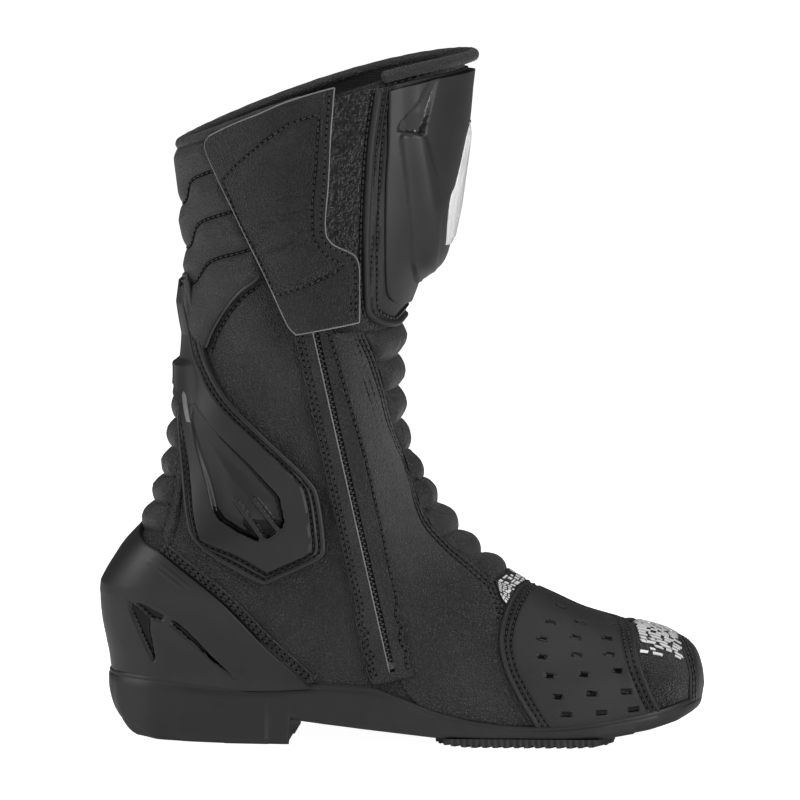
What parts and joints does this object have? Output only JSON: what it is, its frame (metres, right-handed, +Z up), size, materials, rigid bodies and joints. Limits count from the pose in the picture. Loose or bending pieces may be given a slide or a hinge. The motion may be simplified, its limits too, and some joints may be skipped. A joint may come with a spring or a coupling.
{
  "type": "motorcycle riding boot",
  "caption": "Left leather riding boot with side zip under a closure flap, flex bellows, ankle, heel and shin armour, toe slider and cup sole.",
  "frame": {"origin": "on the ground under the middle of the heel", "axes": "+Z up the shaft, +X from heel to toe, +Y to the outer (lateral) side of this left boot"},
  "size_m": [0.301, 0.1135, 0.3363],
  "materials": {
    "leather": "satin black, fine pebbled grain",
    "hard_shell": "satin black moulded",
    "gloss_trim": "gloss black",
    "white_trim": "gloss white",
    "rubber": "matte black",
    "textile": "black knit and loop textile",
    "foam": "grey foam",
    "zip_plastic": "black moulded zip teeth",
    "zip_metal": "black lacquered metal",
    "board": "pressed fibre board",
    "steel": "brushed steel"
  },
  "bodies": {
    "foot": {"outsole": "rubber", "heel_tread": "rubber", "forefoot_tread": "rubber", "shank": "steel", "insole_board": "board", "footbed": "foam", "heel_leather": "leather", "heel_counter": "board", "heel_cup": "hard_shell", "heel_inlay_inner": "gloss_trim", "heel_inlay_outer": "gloss_trim", "achilles_panel": "leather", "vamp": "leather", "toe_cap": "leather", "toe_puff": "board", "vamp_guard": "leather", "toe_slider": "hard_shell", "toe_patch": "white_trim", "zip_stop_bottom": "zip_metal", "inner_rear_quarter": "leather", "inner_front_quarter": "leather", "outer_quarter": "leather", "front_bellows": "leather", "rear_bellows": "leather", "lining": "textile"},
    "shaft": {"calf_quilt": "leather", "inner_upper_panel": "leather", "outer_upper_panel": "leather", "stretch_gusset": "textile", "shin_base": "leather", "shin_plate": "hard_shell", "shin_insert": "white_trim", "calf_padding": "foam", "ankle_guard_inner": "hard_shell", "ankle_guard_outer": "hard_shell", "ankle_insert_inner": "gloss_trim", "ankle_insert_outer": "gloss_trim", "rear_brace": "hard_shell", "rear_brace_strip": "steel", "collar_binding": "leather", "hook_patch": "textile", "zip_stop_top": "zip_metal", "zip_tape_rear": "textile", "zip_tape_front": "textile", "zip_facing_rear": "leather", "zip_facing_front": "leather", "zip_chain": "zip_plastic"},
    "flap": {"closure_flap": "leather", "loop_patch": "textile"},
    "slider": {"zip_slider": "zip_metal", "zip_pin": "zip_metal"},
    "puller": {"zip_puller": "zip_metal"}
  },
  "joints": [
    {"name": "ankle_flex", "type": "hinge", "parent": "foot", "child": "shaft", "pos_m": [0.035, 0, 0.118], "axis": [0, -1, 0], "range_deg": [-20, 0], "deforming": ["inner_rear_quarter", "inner_front_quarter", "outer_quarter", "front_bellows", "rear_bellows", "lining", "zip_tape_rear", "zip_tape_front", "zip_facing_rear", "zip_facing_front", "zip_chain"]},
    {"name": "flap_hinge", "type": "hinge", "parent": "shaft", "child": "flap", "pos_m": [0.088, -0.051, 0.262], "axis": [0, 0, 1], "range_deg": [0, 110]},
    {"name": "zip_slide", "type": "slide", "parent": "shaft", "child": "slider", "axis": [0.2184, 0.0106, -0.9758], "range_m": [0, 0.25]},
    {"name": "puller_hinge", "type": "hinge", "parent": "slider", "child": "puller", "pos_m": [0.0462, -0.05367, 0.29895], "axis": [-0.9759, 0, -0.2184], "range_deg": [0, 90]}
  ],
  "couplings": [
    {"joint": "puller_hinge", "follows": "flap_hinge", "ratio": 0.8}
  ]
}
